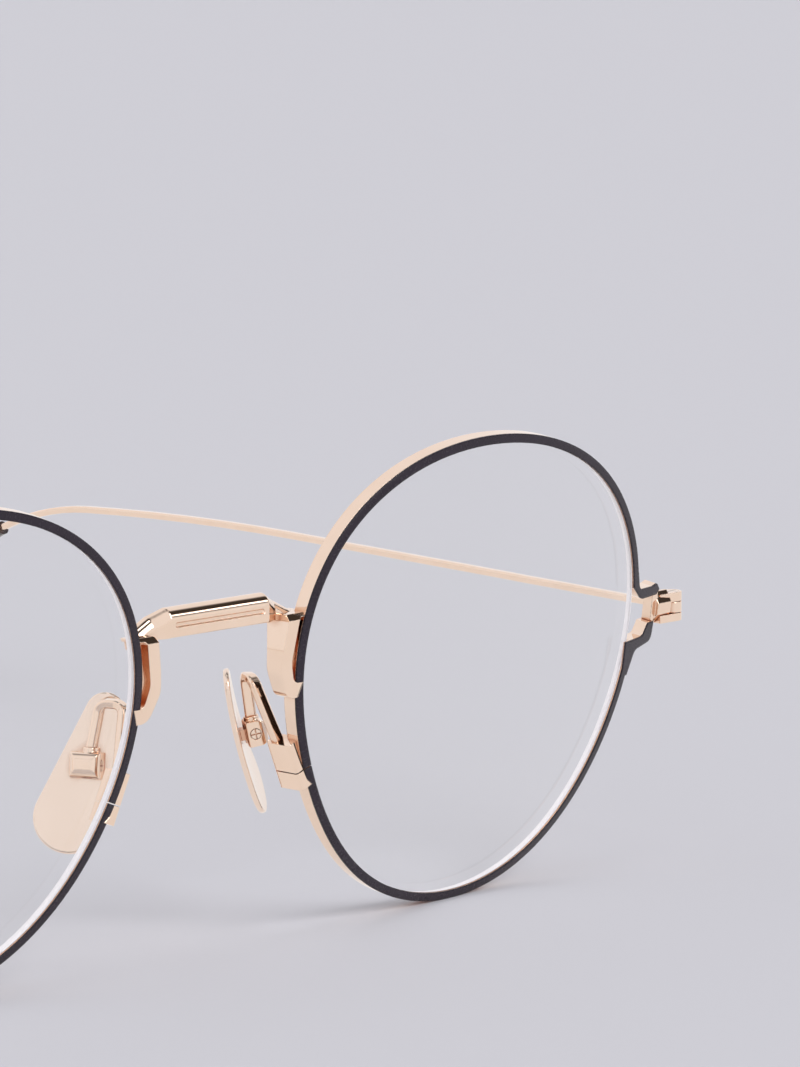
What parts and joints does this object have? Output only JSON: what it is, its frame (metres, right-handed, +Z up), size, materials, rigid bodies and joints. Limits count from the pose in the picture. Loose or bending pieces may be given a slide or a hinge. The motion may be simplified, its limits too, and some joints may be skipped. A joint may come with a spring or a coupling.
{
  "type": "eyeglasses",
  "caption": "Round metal-rimmed eyeglasses with a flat bridge bar on side struts, metal nose pads on wire arms and thin folding wire temples with sleeved tips.",
  "frame": {"origin": "bottom centre of the whole object's box, open, in its plane of symmetry and on the surface it stands on", "axes": "+X towards the wearer's left, -Y the way the lenses face (the temples run back along +Y), +Z up"},
  "size_m": [0.1432, 0.1394, 0.046],
  "materials": {
    "rose_gold": "polished rose gold plate",
    "screw_gold": "polished rose gold plate, machined slots",
    "pad_gold": "satin rose gold plate",
    "dark_enamel": "satin dark aubergine enamel",
    "clear_lens": "clear, polished faces, ground edge",
    "tip_sleeve": "polished dark acetate"
  },
  "bodies": {
    "front": {"bridge_bar": "rose_gold", "bridge_leg_left": "rose_gold", "bridge_leg_right": "rose_gold", "enamel_lower_left": "dark_enamel", "enamel_lower_right": "dark_enamel", "enamel_upper_left": "dark_enamel", "enamel_upper_right": "dark_enamel", "endpiece_left": "rose_gold", "endpiece_right": "rose_gold", "hinge_front_left": "rose_gold", "hinge_front_right": "rose_gold", "hinge_screw_left": "screw_gold", "hinge_screw_right": "screw_gold", "lens_left": "clear_lens", "lens_right": "clear_lens", "lock_block_lower_left": "rose_gold", "lock_block_lower_right": "rose_gold", "lock_block_upper_left": "rose_gold", "lock_block_upper_right": "rose_gold", "lock_screw_left": "screw_gold", "lock_screw_right": "screw_gold", "pad_arm_left": "rose_gold", "pad_arm_right": "rose_gold", "pad_box_left": "rose_gold", "pad_box_right": "rose_gold", "pad_screw_left": "screw_gold", "pad_screw_right": "screw_gold", "rim_lower_left": "rose_gold", "rim_lower_right": "rose_gold", "rim_upper_left": "rose_gold", "rim_upper_right": "rose_gold"},
    "temple_left": {"temple_hinge_left": "rose_gold", "temple_wire_left": "rose_gold", "temple_tip_left": "tip_sleeve"},
    "pad_left": {"nose_pad_left": "pad_gold", "pad_lug_left": "rose_gold"},
    "temple_right": {"temple_hinge_right": "rose_gold", "temple_wire_right": "rose_gold", "temple_tip_right": "tip_sleeve"},
    "pad_right": {"nose_pad_right": "pad_gold", "pad_lug_right": "rose_gold"}
  },
  "joints": [
    {"name": "temple_fold_left", "type": "hinge", "parent": "front", "child": "temple_left", "pos_m": [0.0656, -0.0618, 0.0248], "axis": [0, 0, 1], "range_deg": [0, 87]},
    {"name": "pad_rock_left", "type": "hinge", "parent": "front", "child": "pad_left", "pos_m": [0.01065, -0.06075, 0.01925], "axis": [0.5299, 0.848, 0], "range_deg": [-5, 5]},
    {"name": "temple_fold_right", "type": "hinge", "parent": "front", "child": "temple_right", "pos_m": [-0.0656, -0.0618, 0.0248], "axis": [0, 0, -1], "range_deg": [0, 80]},
    {"name": "pad_rock_right", "type": "hinge", "parent": "front", "child": "pad_right", "pos_m": [-0.01065, -0.06075, 0.01925], "axis": [-0.5299, 0.848, 0], "range_deg": [-5, 5]}
  ]
}
